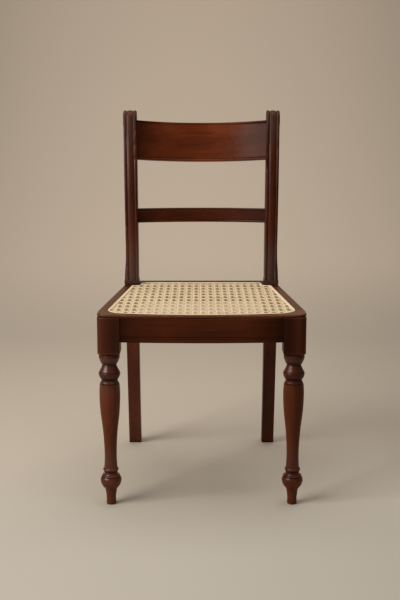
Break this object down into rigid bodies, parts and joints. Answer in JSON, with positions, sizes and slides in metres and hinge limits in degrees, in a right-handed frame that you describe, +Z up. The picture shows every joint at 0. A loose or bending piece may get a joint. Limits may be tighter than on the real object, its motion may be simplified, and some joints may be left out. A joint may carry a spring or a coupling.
{
  "type": "dining chair",
  "caption": "Side chair in dark lacquered wood with a caned seat, turned front legs, swept reeded rear posts and curved back rails",
  "frame": {"origin": "on the floor, under the centre of the chair's outline", "axes": "+Z up; the front faces -Y; +X is to the right of someone who faces the chair's front"},
  "size_m": [0.4682, 0.5174, 0.8854],
  "materials": {
    "lacquered_wood": "dark red-brown, glossy lacquer",
    "plain_wood": "plain, unfinished",
    "cane": "woven cane, natural straw colour",
    "cane_binding": "smooth wide cane, natural straw colour",
    "screw_steel": "plain steel"
  },
  "bodies": {
    "root": {"front_leg_left": "lacquered_wood", "front_leg_right": "lacquered_wood", "rear_leg_left": "lacquered_wood", "rear_leg_right": "lacquered_wood", "crest_rail": "lacquered_wood", "mid_rail": "lacquered_wood", "front_apron": "lacquered_wood", "rear_apron": "lacquered_wood", "side_apron_left": "lacquered_wood", "side_apron_right": "lacquered_wood", "seat_frame_front": "lacquered_wood", "seat_frame_rear": "lacquered_wood", "seat_frame_left": "lacquered_wood", "seat_frame_right": "lacquered_wood", "cane_panel": "cane", "cane_binding": "cane_binding", "corner_block_front_left": "plain_wood", "corner_block_front_right": "plain_wood", "corner_block_rear_left": "plain_wood", "corner_block_rear_right": "plain_wood", "corner_block_screws": "screw_steel", "seat_frame_screws": "screw_steel"}
  },
  "joints": []
}
